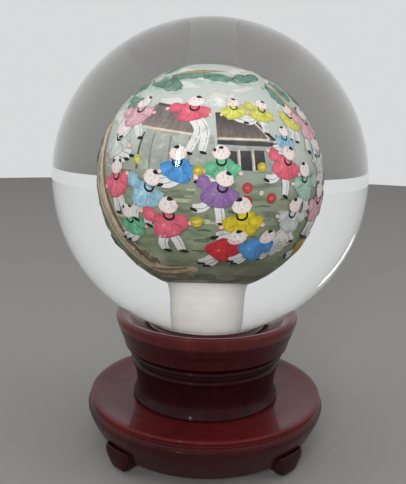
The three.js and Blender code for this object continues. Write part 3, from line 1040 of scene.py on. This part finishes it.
def pedestalPiece():
    s = pedestalShape
    low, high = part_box("pedestal")

    def bead(radius, height, size, reach):
        return arcLine(radius * mm, low.z + height * mm, size * mm, -reach, reach, 8)

    line = [(0, low.z)] + outline(s["foot"], 0, low.z) + flowLine(outline(s["waist"], 0, low.z), 6)
    line += bead(*s["lowBead"]) + outline(s["groove"], 0, low.z) + bead(*s["highBead"])
    line += [(s["topRadius"], high.z), (0, high.z)]
    return piece("turned_pedestal", turned(line), [lacquers["neckLacquer"]], "stand", ["pedestal"])


drumShape = {
    "foot": ((41.4, 0), (41.8, 0.2)),  # from the underside
    "sideFoot": ((42, 0.5),),
    "side": ((44.7, 8.7), (47.1, 13.5)),  # from the floor
    "shoulder": ((0, 16.6), (-0.3, 17.7), (-1.0, 18.4)),  # from the widest radius and the floor
    "groove": ((-1.7, 18.7), (-1.85, 19.2), (-1.7, 19.6)),
    "roll": 0.75 * mm,
    "rollInset": 1.8 * mm,
    "topEdge": ((44.6, -0.15),),  # from the top
    "dish": ((38.5, 19.95), (30, 19.2)),  # from the floor
}


def drumSide(grow=0):
    s = drumShape
    low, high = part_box("base_drum")
    places = outline(s["sideFoot"], grow, low.z) + outline(s["side"], grow)
    return flowLine(places + outline(s["shoulder"], high.x + grow), 7)


def drumPiece():
    s = drumShape
    low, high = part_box("base_drum")
    line = [(0, low.z)] + outline(s["foot"], 0, low.z) + drumSide() + outline(s["groove"], high.x)
    line += arcLine(high.x - s["rollInset"], high.z - s["roll"], s["roll"], -40, 90, 9)
    line += flowLine(outline(s["topEdge"], 0, high.z) + outline(s["dish"]), 8)
    line += [(0, line[-1][1])]
    return piece("base_block", turned(line), [lacquers["baseLacquer"]], "stand", ["base_drum"])


footShape = {
    "halfWidth": ((1.1, 3.2), (2.1, 3.35), (4.1, 4.85), (5.8, 6.0), (7.5, 6.5), (9.6, 6.2)),  # by height
    # radius and height from the floor
    "face": ((45.1, 1.1), (45.5, 1.5), (46.0, 2.5), (46.5, 5.3), (46.6, 7.5), (46.4, 9.2), (46.0, 9.6)),
    "heel": ((41.9, 3.5), (36.5, 3.5)),
    "toe": 37.2 * mm,
    "gap": 0.3 * mm,  # to the drum
    "belowTop": 0.2 * mm,
    "slices": 16,
    "widthRadius": 44 * mm,  # where the width is measured
    "ease": 0.35 * mm,  # how far the face drops at its sides
    "easeFrom": 43.5 * mm,
}


def between(table, z):
    for (z0, a), (z1, b) in zip(table, table[1:]):
        if z <= z1:
            return a + (b - a) * max(0, (z - z0) / (z1 - z0))
    return table[-1][1]


def footPiece(number, angle):
    # a bracket foot: its upright section pushed along, then narrowed to the bracket's outline
    s = footShape
    low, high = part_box("foot_" + str(number))
    section = [(s["toe"], low.z)] + flowLine(outline(s["face"]), 4)
    section += [(r, z) for r, z in drumSide(s["gap"]) if z < high.z - s["belowTop"]][::-1]
    section += outline(s["heel"])
    bm = bmesh.new()
    layer = [bm.faces.new([bm.verts.new((r, -1, z)) for r, z in section])]
    for i in range(s["slices"]):
        made = bmesh.ops.extrude_face_region(bm, geom=layer)
        layer = [g for g in made["geom"] if isinstance(g, bmesh.types.BMFace)]
        moved = [g for g in made["geom"] if isinstance(g, bmesh.types.BMVert)]
        bmesh.ops.translate(bm, verts=moved, vec=(0, 2 / s["slices"], 0))
    for vert in bm.verts:
        radius = vert.co.x
        if radius > s["easeFrom"]:
            radius -= s["ease"] * abs(vert.co.y) ** 6
        turn = vert.co.y * between(s["halfWidth"], vert.co.z / mm) * mm / s["widthRadius"]
        vert.co = Vector((radius * math.cos(turn), radius * math.sin(turn), vert.co.z))
    bmesh.ops.recalc_face_normals(bm, faces=bm.faces)
    bmesh.ops.rotate(bm, verts=bm.verts, cent=(0, 0, 0), matrix=Matrix.Rotation(angle, 3, "Z"))
    return piece("bracket_foot_" + str(number), bm, [lacquers["footLacquer"]], "stand",
                 ["foot_" + str(number)], sharp=35)


feltRingShape = {
    "inner": 14 * mm,
    "outer": 24 * mm,
    "edge": 0.5 * mm,
    "gap": 0.3 * mm,  # under the ball
    "thickness": 2 * mm,
}


def feltRing():
    s = feltRingShape
    upper = ballRadius + s["gap"]
    lower = upper + s["thickness"]
    middle = (upper + lower) / 2
    inner, outer = s["inner"] + s["edge"], s["outer"] - s["edge"]

    def cupped(radius, start, end):
        # an arc round the ball's centre between two distances from the axis
        return arcLine(0, ballCentre.z, radius, angleAt(start, radius), angleAt(end, radius), 14)

    line = cupped(lower, inner, outer) + cupped(middle, s["outer"], s["outer"])[:1]
    line += cupped(upper, outer, inner) + cupped(middle, s["inner"], s["inner"])[:1]
    made = piece("felt_seat_ring", turned(line, 96, closed=True), [seatFelt], "seat_ring", ["seat_ring"])
    return made


padEdge = 0.22 * mm  # how round a foot pad's edges are


def feltPad(number):
    low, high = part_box("foot_pad_" + str(number))
    middle = (low + high) / 2
    r = (high.x - low.x) / 2
    line = [(0, low.z), (r / 2, low.z)] + arcLine(r - padEdge, low.z + padEdge, padEdge, -90, 0, 4)
    line += arcLine(r - padEdge, high.z - padEdge, padEdge, 0, 90, 4) + [(r / 2, high.z), (0, high.z)]
    bm = turned(line, 40)
    bmesh.ops.translate(bm, verts=bm.verts, vec=(middle.x, middle.y, 0))
    made = piece("felt_pad_" + str(number), bm, [footFelt], "stand", ["foot_pad_" + str(number)])
    return made


cupPiece()
pedestalPiece()
drumPiece()
feltRing()
for i in range(4):
    footPiece(i + 1, math.radians(45 + 90 * i))
    feltPad(i + 1)
nodeFinishes = {"cup_dowel": beechFinish, "pedestal_screw": steelFinish, "foot_pin": steelFinish}
for name, node in frame["nodes"].items():
    for start, finish in nodeFinishes.items():
        if name.startswith(start):
            node.data.materials.clear()
            node.data.materials.append(finish)
print("stand made")

studio = {
    "floor": 1.12,
    "floorColour": (0.232, 0.227, 0.220),
    "floorFibre": (220, 3, 0.6),
    "air": (0.985, 0.99, 1.0),
    "airStrength": 0.71,
    "frontStrength": 0.34,  # behind the camera the studio is dimmer
    "frontDepth": 0.75,  # how far towards the front it is fully dim
}
warmWhite = (1.0, 0.985, 0.97)
paneWhite = (1.0, 0.99, 0.97)
lamps = {
    # place, aim, width, height, power, colour; only the window panes show in the glass
    "window_pane_left": ((-0.349, -0.85, 0.40), ballCentre, 0.014, 0.17, 0.3, paneWhite, True),
    "window_pane_right": ((-0.321, -0.85, 0.40), ballCentre, 0.014, 0.17, 0.3, paneWhite, True),
    "top_soft": ((0.0, -0.2, 1.15), (0, 0, 0.05), 0.9, 0.9, 3.5, (1, 1, 1), False),
    "left_soft": ((-1.0, -0.25, 0.5), (0, 0, 0.08), 0.5, 0.5, 1.2, (1, 1, 1), False),
    "right_soft": ((1.0, -0.3, 0.5), (0, 0, 0.08), 0.5, 0.5, 2.4, (1, 1, 1), False),
    "front_soft": ((-0.15, -1.1, 0.55), ballCentre, 0.7, 0.5, 8.5, warmWhite, False),
}


def studioFloor():
    bm = turned([(0, 0), (0.12, 0), (0.5, 0), (studio["floor"], 0)], 128)
    for face in bm.faces:
        if face.normal.z < 0:
            face.normal_flip()
    f = Finish("studioPaper")
    fibre = f.noise(f.place(), *studio["floorFibre"])
    colour = f.mix((fibre - 0.5).clipped() * 0.3, studio["floorColour"], (0.5, 0.5, 0.5), "MULTIPLY")
    paper = f.surface({"Base Color": colour, "Roughness": 0.9, "Specular IOR Level": 0.1})
    placed("studio_floor", bm, [paper])


def lamp(name, place, aim, wide, high, power, colour, mirrored):
    data = bpy.data.lights.new(name, "AREA")
    data.shape = "RECTANGLE"
    data.size = wide
    data.size_y = high
    data.energy = power
    data.color = colour
    made = bpy.data.objects.new(name, data)
    made.location = place
    made.rotation_euler = (Vector(aim) - Vector(place)).to_track_quat("-Z", "Y").to_euler()
    made.visible_camera = False
    made.visible_transmission = mirrored
    made.visible_glossy = mirrored
    bpy.context.scene.collection.objects.link(made)


def studioAir():
    world = bpy.data.worlds.new("studioAir")
    world.use_nodes = True
    nodes, links = world.node_tree.nodes, world.node_tree.links
    air = nodes["Background"]
    air.inputs["Color"].default_value = (*studio["air"], 1)
    heading = nodes.new("ShaderNodeTexCoord")
    split = nodes.new("ShaderNodeSeparateXYZ")
    dimming = nodes.new("ShaderNodeMapRange")
    dimming.interpolation_type = "SMOOTHSTEP"
    dimming.inputs["From Min"].default_value = -studio["frontDepth"]
    dimming.inputs["From Max"].default_value = 0
    dimming.inputs["To Min"].default_value = studio["frontStrength"]
    dimming.inputs["To Max"].default_value = studio["airStrength"]
    links.new(heading.outputs["Generated"], split.inputs[0])
    links.new(split.outputs["Y"], dimming.inputs["Value"])
    links.new(dimming.outputs[0], air.inputs["Strength"])
    bpy.context.scene.world = world


view = {
    "distance": 4.044,  # in ball radii, from the ball's centre
    "elevation": 5.572,
    "pitch": 11.367,
    "yaw": -0.512,
    "roll": 1.185,
    "lens": 45.97,
    "sensor": 36,
}


def camera():
    v = view
    e, p, y, r = (math.radians(v[k]) for k in ("elevation", "pitch", "yaw", "roll"))
    ahead = Vector((math.sin(y) * math.cos(p), math.cos(y) * math.cos(p), -math.sin(p)))
    side = Vector((math.cos(y), -math.sin(y), 0))
    up = side.cross(ahead)
    right = side * math.cos(r) + up * math.sin(r)
    top = up * math.cos(r) - side * math.sin(r)
    data = bpy.data.cameras.new("camera")
    data.lens = v["lens"]
    data.sensor_width = v["sensor"]
    data.clip_start = 0.01
    data.clip_end = 20
    made = bpy.data.objects.new("camera", data)
    turn = Matrix((right, top, -ahead)).transposed().to_4x4()
    place = ballCentre + Vector((0, -math.cos(e), math.sin(e))) * v["distance"] * ballRadius
    made.matrix_world = Matrix.Translation(place) @ turn
    bpy.context.scene.collection.objects.link(made)
    bpy.context.scene.camera = made


studioFloor()
for name, setting in lamps.items():
    lamp(name, *setting)
studioAir()
camera()
bpy.context.scene.view_settings.view_transform = "Standard"
print("studio made")
